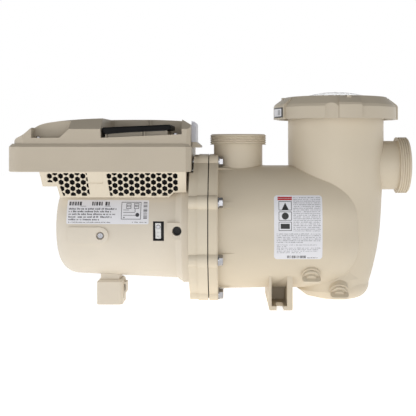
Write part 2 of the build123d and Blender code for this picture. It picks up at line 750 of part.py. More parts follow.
def boss_plug():
    x, z = BOSS
    plug = cyl_y(6.9, -86, -84, x, z) - cyl_y(4.6, -87, -85, x, z) + cyl_y(1.6, -86.5, -84, x, z)
    plug += cyl_y(3.0, -84, -78, x, z)
    return one(plug)


def motor_foot():
    """Post under the motor's rear half: a box with a narrower neck that fits the shell."""
    foot = block(FOOT_X0, FOOT_X1, -28, 28, 0, 41)
    foot = fillet(foot.edges().filter_by(Axis.Z), 6)
    foot = chamfer(foot.faces().sort_by(Axis.Z)[-1].edges(), 3.5)
    foot += block(FOOT_X0 + 6, FOOT_X1 - 6, -20, 20, 38, 56)
    foot -= motor_solid(0, SEAL_BACK_X, FLARE_R)
    foot -= block(FOOT_X0 + 7, FOOT_X1 - 7, -22, 22, -1, 8)
    return one(foot)


def foot_clip():
    """Hooked clip on the pump side of the motor foot."""
    clip = block(FOOT_X1, FOOT_X1 + 1.6, -12, 12, 8, 36)
    clip += block(FOOT_X1, FOOT_X1 + 5.0, -12, 12, 32, 35)
    clip += block(FOOT_X1 + 3.4, FOOT_X1 + 5.0, -12, 12, 18, 35)
    return one(clip)


# ---------------------------------------------------------------- drive
def plan_prism(x0, x1, half, radius, z0, z1, bevel=8.0):
    """Rounded rectangle in plan, bevelled at its pump end, raised from z0 to z1."""
    sketch = Pos((x0 + x1) / 2, 0) * Rectangle(x1 - x0, 2 * half)
    left = sketch.vertices().sort_by(Axis.X)[:2]
    sketch = fillet(left, radius)
    right = sketch.vertices().sort_by(Axis.X)[-2:]
    sketch = chamfer(right, bevel)
    return Pos(0, 0, z0) * extrude(sketch, z1 - z0)


def drive_tray():
    tray = plan_prism(DRIVE_LEFT_X, DRIVE_RIGHT_X, DRIVE_HALF, 30, TRAY_BOTTOM_Z, TRAY_TOP_Z)
    tray = fillet(tray.faces().sort_by(Axis.Z)[0].edges(), 1.6)
    tray -= plan_prism(DRIVE_LEFT_X + SHELL, DRIVE_RIGHT_X - SHELL, DRIVE_HALF - SHELL, 27,
                       TRAY_BOTTOM_Z + SHELL, TRAY_TOP_Z + 1)
    tray -= block(-200, -120, -40, 40, TRAY_BOTTOM_Z - 1, TRAY_BOTTOM_Z + 5)
    tray -= cyl_x(FLARE_R + 0.6, FLARE_X - 2, DRIVE_RIGHT_X + 1)
    for x in (-300, -62):
        for y in (-80, 80):
            tray += cyl_z(6, TRAY_BOTTOM_Z + 2, TRAY_TOP_Z - 2, x, y)
    for x in (-285, -85):
        for y in (-60, 60):
            tray += cyl_z(4, TRAY_BOTTOM_Z + 2, 240, x, y)
    x, z = CONDUIT
    tray += cyl_y(15, DRIVE_HALF - CONDUIT_LENGTH, DRIVE_HALF - 1, x, z)
    tray -= cyl_y(CONDUIT_R, DRIVE_HALF - CONDUIT_LENGTH - 1, DRIVE_HALF + 1, x, z)
    return one(tray)


def drive_gasket():
    edge = GASKET_INSET
    outer = plan_prism(DRIVE_LEFT_X + edge, DRIVE_RIGHT_X - edge, DRIVE_HALF - edge, 29,
                       TRAY_TOP_Z, COVER_BOTTOM_Z)
    inner = plan_prism(DRIVE_LEFT_X + SHELL, DRIVE_RIGHT_X - SHELL, DRIVE_HALF - SHELL, 27,
                       TRAY_TOP_Z - 1, COVER_BOTTOM_Z + 1)
    return one(outer - inner)


def cover_outline(inset):
    """Side view of the cover from its low end over the crown to the pump end."""
    left = COVER_LEFT_X + inset
    right = DRIVE_RIGHT_X - 1.0 - inset
    low = COVER_BOTTOM_Z - 1
    nose = (left, 270 - inset * 0.3)
    brow = (-50, 307.6 - inset)
    crown = Spline(
        nose,
        (-303 + inset, 281.5 - inset),
        (-287 + inset * 0.8, 294.5 - inset),
        (-258, 303.4 - inset),
        (-216, 307.8 - inset),
        (-120, CREST_Z - inset),
        brow,
        tangents=((0.35, 1), (1, -0.06)),
    )
    return Curve() + [
        Line((right, low), (left, low)),
        Line((left, low), nose),
        crown,
        Line(brow, (right, 299 - inset)),
        Line((right, 299 - inset), (right, low)),
    ]


def cover_solid(inset):
    side = Pos(0, -130, 0) * extrude(make_face(Plane.XZ * cover_outline(inset)), 260, dir=(0, 1, 0))
    half = COVER_HALF - inset
    low = COVER_BOTTOM_Z + (0 if inset == 0 else -1)
    eave = (half - 3, 291.5 - inset * 0.4)
    ridge = (60 - inset * 0.4, CREST_Z + 1 - inset)
    near_side = [(-half, low), (-eave[0], eave[1]), (-ridge[0], ridge[1])]
    end_section = slab_yz([*near_side, ridge, eave, (half, low)], -330, -30)
    plan = plan_prism(COVER_LEFT_X + inset, DRIVE_RIGHT_X - 1.0 - inset, half, 28 - inset, low, 330)
    return side & end_section & plan


def shoulder():
    """Sloping step from the tray's edge up to the cover's side, with a lip round the gasket."""
    top = COVER_BOTTOM_Z + 7
    step = plan_prism(DRIVE_LEFT_X, DRIVE_RIGHT_X, DRIVE_HALF, 30, TRAY_TOP_Z, top)
    step = chamfer(step.faces().sort_by(Axis.Z)[-1].edges(), 5.0)
    lip = GASKET_INSET
    return step - plan_prism(DRIVE_LEFT_X + lip, DRIVE_RIGHT_X - lip, DRIVE_HALF - lip, 29,
                             TRAY_TOP_Z - 1, COVER_BOTTOM_Z)


def pocket_cut(sign):
    """Screw pocket in the low end's corner, with a sloping inner wall."""
    cut = slab_xz([(-288, 277.5), (-243, 277.5), (-229, 291), (-229, 320), (-288, 320)], -130, -72)
    return cut if sign < 0 else mirror(cut, Plane.XZ)


def drive_cover():
    cover = cover_solid(0) + shoulder()
    cover -= cover_solid(SHELL)
    cover -= plan_prism(DRIVE_LEFT_X + 4.5, DRIVE_RIGHT_X - 4.5, DRIVE_HALF - 4.5, 26,
                        255, COVER_BOTTOM_Z + 3.0)
    body = cover_solid(0)
    for sign in (-1, 1):
        y0, y1 = (-130, -68.5) if sign < 0 else (68.5, 130)
        liner = block(-291.5, -226, y0, y1, 274, 318) & body
        cover += liner
        cover -= pocket_cut(sign)
        cover += cyl_z(6, COVER_BOTTOM_Z, 277.5, -279.5, sign * 90)
    deck_body = deck(block(-DECK_HALF - 3.5, DECK_HALF + 3.5, -130, DECK_BACK_Y + 3.5, -3.5, 60)) & body
    cover += deck_body
    cover -= deck(block(-DECK_HALF, DECK_HALF, -130, DECK_BACK_Y, 0, 60))
    cover += deck(block(-56, 41, -83, 2, -1, 7))
    for x in (-58.5, -1.6, 3.6):
        cover += deck(block(x, x + 2.2, -88, -82, -1, 7))
        cover += deck(block(x, x + 2.2, DECK_BACK_Y - 3, DECK_BACK_Y + 1, -1, 60)) & body
    for x in HINGE_LUGS:
        lug = block(x - 3, x + 3, HINGE_Y - 3.8, HINGE_Y + 3.8, -1, HINGE_Z)
        lug += cyl_x(3.8, x - 3, x + 3, HINGE_Y, HINGE_Z)
        lug -= cyl_x(2.05, x - 5, x + 5, HINGE_Y, HINGE_Z)
        cover += deck(lug)
        cover -= deck(cyl_x(2.05, x - 5, x + 5, HINGE_Y, HINGE_Z))
    for x, y, z in COVER_SCREWS:
        cover -= cyl_z(2.2, z - 30, z + 1, x, y)
    return one(cover)


def cover_screws():
    return [Pos(x, y, z) * pan_screw(3.8, 2.4, 9) for x, y, z in COVER_SCREWS]


def keypad_panel():
    return one(deck(block(-54, 39, -81, 0, 7, 9) - display_void() - buttons_void()))


BUTTONS = [("speed_1", -42, -60), ("speed_2", -20, -60), ("speed_3", 2, -60), ("speed_4", 24, -60),
           ("menu", -42, -40), ("up", -20, -40), ("down", 2, -40), ("start_stop", 24, -40)]
BUTTON_W = 14.0
BUTTON_D = 9.0


def display_void():
    return block(-42, 28, -27, -7, 8, 12)


def buttons_void():
    w = BUTTON_W / 2 + CLEAR
    d = BUTTON_D / 2 + CLEAR
    return Compound(children=[block(x - w, x + w, y - d, y + d, 7.8, 12) for _, x, y in BUTTONS])


def display_window():
    return one(deck(block(-42, 28, -27, -7, 8, 9.4)))


def button(x, y):
    w = BUTTON_W / 2
    d = BUTTON_D / 2
    cap = block(x - w, x + w, y - d, y + d, 8.8, 10.8)
    cap = fillet(cap.edges().filter_by(Axis.Z), 1.6)
    cap = fillet(cap.faces().sort_by(Axis.Z)[-1].edges(), 0.5)
    return one(deck(cap))


def keypad_cover():
    """Black flip cover over the keypad: a plate with a lip all round and two hinge knuckles."""
    plate = block(FLAP_X0, FLAP_X1, FLAP_FRONT_Y, HINGE_Y - 5, FLAP_BOTTOM, FLAP_TOP)
    plate = fillet(plate.edges().filter_by(Axis.Z), 5)
    plate = fillet(plate.faces().sort_by(Axis.Z)[-1].edges(), 2.2)
    plate -= block(FLAP_X0 + 3, FLAP_X1 - 3, FLAP_FRONT_Y + 3.5, HINGE_Y - 7.5,
                   FLAP_BOTTOM - 1, FLAP_TOP - 3)
    low = FLAP_BOTTOM - FLAP_LIP
    lip = [(FLAP_X0 + 5, low), (FLAP_X1 - 8, FLAP_BOTTOM + 1), (FLAP_X0 + 5, FLAP_BOTTOM + 1)]
    plate += slab_xz(lip, FLAP_FRONT_Y, FLAP_FRONT_Y + 3.5)
    for x in HINGE_LUGS:
        plate -= block(x - 4.5, x + 4.5, HINGE_Y - 9.5, HINGE_Y, FLAP_BOTTOM - 1, FLAP_TOP + 1)
    for x0, x1 in ((-41.5, -30), (12, 23.5)):
        knuckle = cyl_x(3.8, x0, x1, HINGE_Y, HINGE_Z)
        knuckle += block(x0, x1, HINGE_Y - 8, HINGE_Y, HINGE_Z - 0.6, HINGE_Z + 3.8)
        knuckle -= cyl_x(2.05, x0 - 1, x1 + 1, HINGE_Y, HINGE_Z)
        plate += knuckle
    return one(deck(plate))


def hinge_pin():
    return one(deck(cyl_x(2.0, -50, 32, HINGE_Y, HINGE_Z)))


def control_board():
    board = block(-300, -70, -70, 70, 240, 242)
    board += block(-250, -225, -30, 20, 242, 262)
    return one(board)


def power_capacitors():
    cans = [cyl_z(14, 242, 266, -190 + 34 * index, 48) for index in range(3)]
    return [fillet(can.edges().filter_by(GeomType.CIRCLE).sort_by(Axis.Z)[-1:], 2) for can in cans]


def heat_sink():
    sink = block(-198, -122, -38, 38, 222, 228)
    for index in range(9):
        x = -194 + index * 8.4
        sink += block(x, x + 2, -38, 38, 216.2, 222.5)
    return one(sink)


# shroud under the tray
SHROUD_OUTLINE = [(-273.5, TRAY_BOTTOM_Z), (-271, 200), (-248, 200), (-245, 182), (-71, 182), (-62, 190),
                  (-42.3, 190.5), (-42.3, TRAY_BOTTOM_Z)]


def shroud_section(inset, top, bottom):
    half_top = DRIVE_HALF - 1 - inset
    half_low = 80.5 - inset
    return slab_yz([(-half_top, top), (-half_low, bottom), (half_low, bottom), (half_top, top)], -300, -20)


def hex_field(x0, x1, z0, z1):
    """Hexagonal lattice of holes that covers a rectangle of the side."""
    cells = []
    column_pitch = HEX_PITCH * sin(radians(60))
    columns = int((x1 - x0) / column_pitch) + 1
    rows = int((z1 - z0) / HEX_PITCH) + 2
    for column in range(columns):
        for row in range(rows):
            x = x0 + HEX_FLATS / 2 + column * column_pitch
            z = z1 - HEX_PITCH * (row + (0.0 if column % 2 else 0.5)) + 0.2
            cells.append(Pos(x, z) * RegularPolygon(HEX_FLATS / 2, 6, major_radius=False, rotation=30))
    return cells


LEFT_GRILLE = [(-262.5, 221.8), (-199, 221.8), (-196.5, 184.6), (-239.5, 184.6), (-245.5, 206), (-262.5, 207)]
RIGHT_GRILLE = [(-168.5, 221.8), (-55.5, 221.8), (-55.5, 192.6), (-63, 192), (-71, 184.6), (-164.5, 184.6)]


def grille_holes():
    solids = []
    for outline in (LEFT_GRILLE, RIGHT_GRILLE):
        xs = [x for x, _ in outline]
        window = make_face(Polyline(*outline, close=True))
        for cell in hex_field(min(xs), max(xs), 184.6, 221.8):
            clipped = cell & window
            if clipped and clipped.area > 5.0:
                solids.append(extrude(Plane.XZ * clipped, 140, both=True))
    return solids


def drive_shroud():
    outline = slab_xz(SHROUD_OUTLINE, -130, 130)
    shell = outline & shroud_section(0, TRAY_BOTTOM_Z, 180)
    inner_outline = slab_xz([(-270, 230), (-267.5, 203), (-244.5, 203), (-241.5, 185), (-72, 185),
                             (-63, 193.2), (-46, 193.7), (-46, 230)], -130, 130)
    inner = inner_outline & shroud_section(3.0, 230, 176)
    shell -= inner
    shell -= motor_solid(-0.05, SEAL_BACK_X, FLARE_R + 0.05)
    for sign in (-1, 1):
        y0, y1 = sorted((sign * 60, sign * 120))
        notch = block(-202, -174, y0, y1, 205, 230)
        notch -= shroud_section(1.0, TRAY_BOTTOM_Z, 180)
        shell -= notch
    shell -= grille_holes()
    return one(shell)


def dust_screen():
    """Black screen that lines the inside of the shroud behind its holes."""
    outline = slab_xz([(-268, 223), (-265.5, 205), (-243, 205), (-240, 187), (-73, 187), (-64, 195),
                       (-48, 195.5), (-48, 223)], -130, 130)
    outer = outline & shroud_section(3.4, 230, 176)
    hollow = block(-300, 0, -130, 130, 150, 240) & shroud_section(5.0, 230, 176)
    screens = outer - hollow
    screens -= block(-300, 0, -60, 60, 150, 240)
    return list(screens.solids())


def end_lens():
    lens = block(DRIVE_RIGHT_X - 1.0, -28.5, -52, 52, 271, 305)
    lens = fillet(lens.edges().filter_by(Axis.Y).sort_by(Axis.Z)[-1:], 5)
    return one(lens)


def drive_saddle():
    """Small sloping bracket at the pump end that carries the end lens over the seal plate."""
    saddle = slab_xz([(-34.4, 262), (-21, 262), (-21, 265), (-28, 271), (-34.4, 271)], -48, 48)
    return one(saddle)


# ---------------------------------------------------------------- safety label on the volute
def safety_label():
    outer = Pos(80, 0, AXIS_Z) * extrude(body_section(BODY_HALF + 0.35, BODY_CORNER_R + 0.35), 100)
    inner = Pos(70, 0, AXIS_Z) * extrude(body_section(BODY_HALF, BODY_CORNER_R), 120)
    sketch = Plane.XZ * (Pos(135.6, AXIS_Z + 5.5) * RectangleRounded(76.5, 101, 5))
    return one((extrude(sketch, 140) & outer) - inner)


# ---------------------------------------------------------------- assembly
def main():
    os.makedirs("parts", exist_ok=True)
    save("pump_housing", pump_housing())
    save("seal_plate", seal_plate())
    save("seal_plate_gasket", gasket())
    save("flange_bolts", flange_bolts())
    save("flange_washers", flange_washers())
    save("shaft_seal_seat", seal_seat())
    save("strainer_lid", strainer_lid())
    save("lid_o_ring", lid_o_ring())
    save("clamp_ring", clamp_ring())
    save("ring_label", ring_label())
    save("strainer_basket", strainer_basket())
    for number, place in ((1, PLUG_1), (2, PLUG_2)):
        plug, o_ring = plug_parts(place)
        save(f"drain_plug_{number}", plug)
        save(f"drain_plug_o_ring_{number}", o_ring)
    save("motor_housing", motor_housing())
    save("stator_frame", stator_frame())
    save("stator_core", stator_core())
    save("stator_windings", stator_windings())
    save("front_bearing", bearing(-45.9, -34.2))
    save("rear_bearing", bearing(-208.5, -197))
    save("rotor_shaft", rotor_shaft())
    save("rotor_core", rotor_core())
    save("cooling_fan", cooling_fan())
    save("shaft_seal_head", seal_head())
    save("impeller", impeller())
    save("impeller_nut", impeller_nut())
    save("diffuser", diffuser())
    save("diffuser_o_ring", diffuser_o_ring())
    save("nameplate_label", nameplate())
    save("terminal_liner", terminal_liner())
    save("bonding_lug", bonding_lug())
    save("motor_screws", motor_screws())
    save("sensor_port_plug", boss_plug())
    save("motor_foot", motor_foot())
    save("foot_clip", foot_clip())
    save("drive_tray", drive_tray())
    save("drive_gasket", drive_gasket())
    save("drive_cover", drive_cover())
    save("drive_cover_screws", cover_screws())
    save("keypad_panel", keypad_panel())
    save("display_window", display_window())
    for name, x, y in BUTTONS:
        save(f"button_{name}", button(x, y))
    save("keypad_cover", keypad_cover())
    save("keypad_hinge_pin", hinge_pin())
    save("control_board", control_board())
    save("power_capacitors", power_capacitors())
    save("heat_sink", heat_sink())
    save("drive_shroud", drive_shroud())
    save("dust_screen", dust_screen())
    save("end_lens", end_lens())
    save("drive_saddle", drive_saddle())
    save("safety_label", safety_label())


main()
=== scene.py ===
"""Pool pump: finishes, printed labels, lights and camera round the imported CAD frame, in metres."""
import math
import random

import bmesh
import bpy
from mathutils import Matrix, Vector


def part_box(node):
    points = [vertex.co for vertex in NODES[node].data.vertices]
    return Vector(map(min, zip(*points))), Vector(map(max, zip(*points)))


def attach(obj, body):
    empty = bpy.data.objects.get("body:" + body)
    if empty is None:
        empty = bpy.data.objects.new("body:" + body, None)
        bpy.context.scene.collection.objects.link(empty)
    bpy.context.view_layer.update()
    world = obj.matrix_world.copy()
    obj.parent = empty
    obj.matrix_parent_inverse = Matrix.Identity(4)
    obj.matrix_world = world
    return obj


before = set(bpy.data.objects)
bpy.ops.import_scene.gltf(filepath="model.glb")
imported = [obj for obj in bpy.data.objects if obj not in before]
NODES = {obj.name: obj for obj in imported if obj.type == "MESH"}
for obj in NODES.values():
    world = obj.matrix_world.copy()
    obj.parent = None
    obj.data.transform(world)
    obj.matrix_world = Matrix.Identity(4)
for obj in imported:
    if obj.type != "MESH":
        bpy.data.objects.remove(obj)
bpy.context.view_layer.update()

MM = 0.001

# ---------------------------------------------------------------- places
AXIS_Z = 130 * MM                                   # height of the shaft
LID = sum(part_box("strainer_lid"), Vector()) / 2     # middle of the clear dome

# ---------------------------------------------------------------- camera
CAMERA_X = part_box("seal_plate")[1].x + 34 * MM
CAMERA_DISTANCE = 1.45
CAMERA_HEIGHT = AXIS_Z + 134.5 * MM
SENSOR_WIDTH = 36                                   # mm
FOCAL_LENGTH = 73.8                                 # mm
SHIFT_X, SHIFT_Y = -0.0505, -0.149                  # fractions of the sensor's width

# ---------------------------------------------------------------- light
FLOOR_GLOW = 0.74           # a lit white sweep: most of the light comes from below
HORIZON, OVERHEAD = 1.0, 0.22                       # strength of the surroundings
FADE_FROM, FADE_TO = 0.20, 0.50                     # sine of the elevation where they dim
SOFT_BOXES = (
    # name, place, target, size, watts
    ("front_low", (-0.3, -2.0, 0.12), (0, 0, AXIS_Z), (2.2, 0.5), 6),
    ("left_fill", (-2.2, -0.6, 0.5), (0, 0, AXIS_Z), (1.0, 0.8), 4),
    ("lid_glint", (LID.x, 2.0, LID.z + 0.95), LID, (1.0, 0.5), 1.6),
)

# ---------------------------------------------------------------- printed faces
RIGHT, DOWN = (1, 0, 0), (0, 0, -1)
INTO_NEAR_SIDE = (0, 1, 0)                          # the near side's labels face the camera
TOWARDS_NEAR_SIDE = (0, -1, 0)
LABEL_TURN = math.radians(16.5)                     # direction in which the ring label is read
SYMBOL_ROWS = (0.09, 0.25, 0.41)                    # tops of the safety label's three symbols
BUTTONS = ("speed_1", "speed_2", "speed_3", "speed_4", "menu", "up", "down", "start_stop")


# ---------------------------------------------------------------- materials
def srgb(r, g, b):
    """Scene-linear colour of an 8-bit display colour."""
    def linear(value):
        value /= 255
        return value / 12.92 if value <= 0.04045 else ((value + 0.055) / 1.055) ** 2.4
    return (linear(r), linear(g), linear(b), 1.0)


def shade(colour, factor):
    return tuple(min(1.0, c * factor) for c in colour[:3]) + (1.0,)


class Nodes:
    """A material's node tree, with short calls for the nodes that the finishes here share."""

    def __init__(self, name):
        self.material = bpy.data.materials.new(name)
        self.material.use_nodes = True
        self.tree = self.material.node_tree
        self.shader = self.tree.nodes["Principled BSDF"]
        self.place = self.add("ShaderNodeTexCoord").outputs["Object"]

    def add(self, kind, **values):
        node = self.tree.nodes.new(kind)
        for key, value in values.items():
            setattr(node, key, value)
        return node

    def link(self, source, target):
        self.tree.links.new(source, target)

    def noise(self, scale, detail=2.0, rough=0.5, stretch=None):
        node = self.add("ShaderNodeTexNoise")
        node.inputs["Scale"].default_value = scale
        node.inputs["Detail"].default_value = detail
        node.inputs["Roughness"].default_value = rough
        source = self.place
        if stretch:
            mapping = self.add("ShaderNodeMapping")
            mapping.inputs["Scale"].default_value = stretch
            self.link(self.place, mapping.inputs["Vector"])
            source = mapping.outputs["Vector"]
        self.link(source, node.inputs["Vector"])
        return node.outputs["Fac"]

    def ramp(self, fac, stops):
        node = self.add("ShaderNodeValToRGB")
        while len(node.color_ramp.elements) < len(stops):
            node.color_ramp.elements.new(0.5)
        for element, (position, colour) in zip(node.color_ramp.elements, stops):
            element.position = position
            element.color = colour
        self.link(fac, node.inputs["Fac"])
        return node.outputs["Color"]

    def range(self, fac, low, high, source_low=0.0, source_high=1.0):
        node = self.add("ShaderNodeMapRange")
        node.inputs["From Min"].default_value = source_low
        node.inputs["From Max"].default_value = source_high
        node.inputs["To Min"].default_value = low
        node.inputs["To Max"].default_value = high
        self.link(fac, node.inputs["Value"])
        return node.outputs["Result"]

    def mix(self, fac, first, second, blend="MIX"):
        node = self.add("ShaderNodeMix", data_type="RGBA", blend_type=blend)
        if isinstance(fac, (int, float)):
            node.inputs["Factor"].default_value = fac
        else:
            self.link(fac, node.inputs["Factor"])
        for socket, value in ((node.inputs["A"], first), (node.inputs["B"], second)):
            if hasattr(value, "is_output"):
                self.link(value, socket)
            else:
                socket.default_value = value
        return node.outputs["Result"]

    def bump(self, height, strength, distance, before=None):
        node = self.add("ShaderNodeBump")
        node.inputs["Strength"].default_value = strength
        node.inputs["Distance"].default_value = distance
        self.link(height, node.inputs["Height"])
        if before:
            self.link(before, node.inputs["Normal"])
        return node.outputs["Normal"]

    def set(self, **values):
        for key, value in values.items():
            socket = self.shader.inputs[key.replace("_", " ")]
            if hasattr(value, "is_output"):
                self.link(value, socket)
            else:
                socket.default_value = value
        return self.material


def moulded(name, colour, rough=0.46, grain=0.16, mottle=0.035, edge=0.10, gloss=0.42):
    """Moulded plastic: faint flow variation, a fine spark-eroded grain and slightly paler edges."""
    n = Nodes(name)
    slow = n.noise(9.0, 3.0)
    base = n.ramp(slow, [(0.3, shade(colour, 1 - mottle)), (0.7, shade(colour, 1 + mottle))])
    specks = n.noise(420.0, 2.0, 0.7)
    base = n.mix(n.range(specks, 0.0, 0.05, 0.35, 0.75), base, shade(colour, 0.80))
    # colour grows paler towards sharp convex edges, going by the mesh's pointiness
    edge_convexity = n.add("ShaderNodeNewGeometry").outputs["Pointiness"]
    base = n.mix(n.range(edge_convexity, 0.0, edge, 0.52, 0.60), base, shade(colour, 1.25))
    fine = n.noise(1500.0, 2.0, 0.6)
    medium = n.noise(60.0, 2.0)
    normal = n.bump(fine, grain, 0.0003)
    normal = n.bump(medium, 0.05, 0.0006, normal)
    roughness = n.range(n.noise(35.0, 3.0), rough - 0.05, rough + 0.06, 0.3, 0.7)
    return n.set(Base_Color=base, Roughness=roughness, Normal=normal, Specular_IOR_Level=gloss)


def metal(name, colour, rough=0.28, brush=(1.0, 40.0, 1.0), dull=0.35):
    """Bright metal with fine drawn lines and a few duller patches."""
    n = Nodes(name)
    lines = n.noise(160.0, 4.0, 0.7, brush)
    patches = n.noise(90.0, 3.0)
    base = n.ramp(patches, [(0.35, shade(colour, 0.78)), (0.65, colour)])
    normal = n.bump(lines, 0.18, 0.0002)
    roughness = n.range(patches, rough, rough + 0.14, 0.3, 0.75)
    return n.set(Base_Color=base, Metallic=1.0, Roughness=roughness, Normal=normal)


def rubber(name, colour, rough=0.72):
    """Matt rubber with a paler bloom."""
    n = Nodes(name)
    bloom = n.noise(60.0, 4.0, 0.65)
    base = n.ramp(bloom, [(0.35, colour), (0.8, shade(colour, 1.6))])
    normal = n.bump(n.noise(900.0, 3.0), 0.25, 0.0002)
    roughness = n.range(bloom, rough - 0.06, rough + 0.08)
    return n.set(Base_Color=base, Roughness=roughness, Normal=normal)


def glossy(name, colour, rough=0.16, waviness=0.02):
    """Polished moulding with a slight ripple and a few fine rub marks."""
    n = Nodes(name)
    rub = n.noise(220.0, 3.0, 0.7, (1.0, 14.0, 1.0))
    base = n.mix(n.range(n.noise(30.0), 0.0, 0.25, 0.4, 0.8), colour, shade(colour, 1.8))
    normal = n.bump(n.noise(24.0), waviness, 0.001)
    roughness = n.range(rub, rough, rough + 0.16, 0.35, 0.75)
    return n.set(Base_Color=base, Roughness=roughness, Normal=normal)


def clear_plastic(name):
    """Clear polycarbonate with faint mould flow and fine rub marks."""
    n = Nodes(name)
    rub = n.noise(180.0, 3.0, 0.7)
    tint = n.ramp(n.noise(8.0), [(0.3, (0.93, 0.96, 0.98, 1)), (0.7, (0.97, 0.985, 0.99, 1))])
    normal = n.bump(n.noise(16.0), 0.03, 0.001)
    n.set(Transmission_Weight=0.94, IOR=1.5, Specular_IOR_Level=0.6)
    return n.set(Base_Color=tint, Roughness=n.range(rub, 0.03, 0.09, 0.4, 0.8), Normal=normal)


def milky_plastic(name, colour):
    """Translucent diffusing plastic."""
    n = Nodes(name)
    cloud = n.noise(25.0, 3.0)
    base = n.ramp(cloud, [(0.3, shade(colour, 0.96)), (0.7, colour)])
    n.set(Transmission_Weight=0.25, IOR=1.45)
    roughness = n.range(cloud, 0.28, 0.4)
    normal = n.bump(n.noise(700.0), 0.06, 0.0002)
    return n.set(Base_Color=base, Roughness=roughness, Normal=normal)


def copper(name):
    """Varnished copper wire, wound round the shaft's axis."""
    n = Nodes(name)
    wires = n.noise(300.0, 2.0, 0.6, (6.0, 1.0, 1.0))
    base = n.ramp(wires, [(0.3, srgb(120, 58, 28)), (0.7, srgb(206, 122, 70))])
    normal = n.bump(wires, 0.6, 0.0006)
    roughness = n.range(wires, 0.25, 0.45)
    return n.set(Base_Color=base, Metallic=0.85, Roughness=roughness, Normal=normal)


def laminations(name, colour):
    """Stacked steel sheets, with their edges showing along the shaft."""
    n = Nodes(name)
    wave = n.add("ShaderNodeTexWave", wave_type="BANDS", bands_direction="X")
    wave.inputs["Scale"].default_value = 300.0
    wave.inputs["Distortion"].default_value = 0.4
    n.link(n.place, wave.inputs["Vector"])
    base = n.ramp(wave.outputs["Fac"], [(0.2, shade(colour, 0.7)), (0.8, colour)])
    normal = n.bump(wave.outputs["Fac"], 0.5, 0.0003)
    roughness = n.range(n.noise(50.0), 0.35, 0.55)
    return n.set(Base_Color=base, Metallic=0.9, Roughness=roughness, Normal=normal)


def circuit_board(name):
    """Green board with paler tracks."""
    n = Nodes(name)
    tracks = n.add("ShaderNodeTexVoronoi", feature="DISTANCE_TO_EDGE")
    tracks.inputs["Scale"].default_value = 140.0
    n.link(n.place, tracks.inputs["Vector"])
    tracks_green, board_green = srgb(60, 120, 70), srgb(20, 70, 36)
    base = n.ramp(tracks.outputs["Distance"], [(0.02, tracks_green), (0.08, board_green)])
    return n.set(Base_Color=base, Roughness=n.range(n.noise(80.0), 0.3, 0.5),
                 Normal=n.bump(tracks.outputs["Distance"], 0.2, 0.0003))


def print_film(name, colour, rough=0.34):
    """Printed label film: slight orange peel and a little uneven ageing."""
    n = Nodes(name)
    age = n.noise(30.0, 3.0)
    base = n.ramp(age, [(0.3, shade(colour, 0.97)), (0.7, colour)])
    return n.set(Base_Color=base, Roughness=n.range(age, rough, rough + 0.1),
                 Normal=n.bump(n.noise(400.0), 0.05, 0.0002))


def mesh_screen(name):
    """Black woven screen."""
    n = Nodes(name)
    weave = n.add("ShaderNodeTexVoronoi")
    weave.inputs["Scale"].default_value = 500.0
    n.link(n.place, weave.inputs["Vector"])
    gap, thread = (0.002, 0.002, 0.002, 1), (0.012, 0.012, 0.013, 1)
    base = n.ramp(weave.outputs["Distance"], [(0.1, gap), (0.9, thread)])
    roughness = n.range(n.noise(50.0), 0.75, 0.9)
    normal = n.bump(weave.outputs["Distance"], 0.6, 0.0004)
    return n.set(Base_Color=base, Roughness=roughness, Normal=normal, Specular_IOR_Level=0.1)


def make_materials():
    return {
        "motor": moulded("almond_motor", srgb(212, 203, 188), 0.48),
        "volute": moulded("almond_volute", srgb(208, 196, 175), 0.46),
        "plate": moulded("almond_seal_plate", srgb(212, 201, 181), 0.46),
        "ring": moulded("almond_ring", srgb(192, 181, 162), 0.44),
        "drive": moulded("almond_drive", srgb(188, 177, 159), 0.44),
        "shroud": moulded("almond_shroud", srgb(216, 205, 185), 0.46),
        "basket": moulded("natural_basket", srgb(226, 222, 208), 0.4, grain=0.05),
        "black": moulded("black_filled_moulding", srgb(26, 26, 27), 0.5, mottle=0.2),
        "panel": moulded("keypad_panel_grey", srgb(58, 58, 60), 0.5),
        "button": rubber("button_rubber", srgb(170, 171, 172), 0.6),
        "seal": rubber("seal_rubber", srgb(22, 22, 22)),
        "cover": moulded("cover_black", srgb(7, 7, 8), 0.55, mottle=0.1, edge=0.0, gloss=0.18),
        "display": glossy("display_glass", srgb(40, 46, 42), 0.08),
        "clear": clear_plastic("clear_lid"),
        "lens": milky_plastic("milky_lens", srgb(216, 217, 226)),
        "steel": metal("stainless", srgb(172, 172, 176), 0.16),
        "shaft": metal("shaft_steel", srgb(180, 180, 182), 0.25, (40.0, 1.0, 1.0)),
        "bearing": metal("bearing_steel", srgb(165, 165, 168), 0.3),
        "lug": metal("tinned_lug", srgb(196, 196, 194), 0.30),
        "aluminium": metal("cast_aluminium", srgb(185, 187, 190), 0.45, (1.0, 1.0, 1.0)),
        "can": metal("capacitor_can", srgb(60, 72, 120), 0.35),
        "lamination": laminations("core_laminations", srgb(120, 121, 125)),
        "copper": copper("winding_copper"),
        "ceramic": glossy("seal_ceramic", srgb(226, 222, 212), 0.25),
        "board": circuit_board("circuit_board"),
        "screen": mesh_screen("dust_screen_mesh"),
        "film": print_film("label_film", srgb(226, 226, 231)),
        "film_black": print_film("label_film_black", srgb(20, 20, 22)),
        "ink": print_film("label_ink", srgb(60, 60, 66), 0.4),
        "ink_grey": print_film("label_ink_grey", srgb(128, 128, 134), 0.4),
        "segment": print_film("display_segment", srgb(150, 176, 160), 0.3),
        "ink_red": print_film("label_ink_red", srgb(176, 40, 44), 0.4),
    }


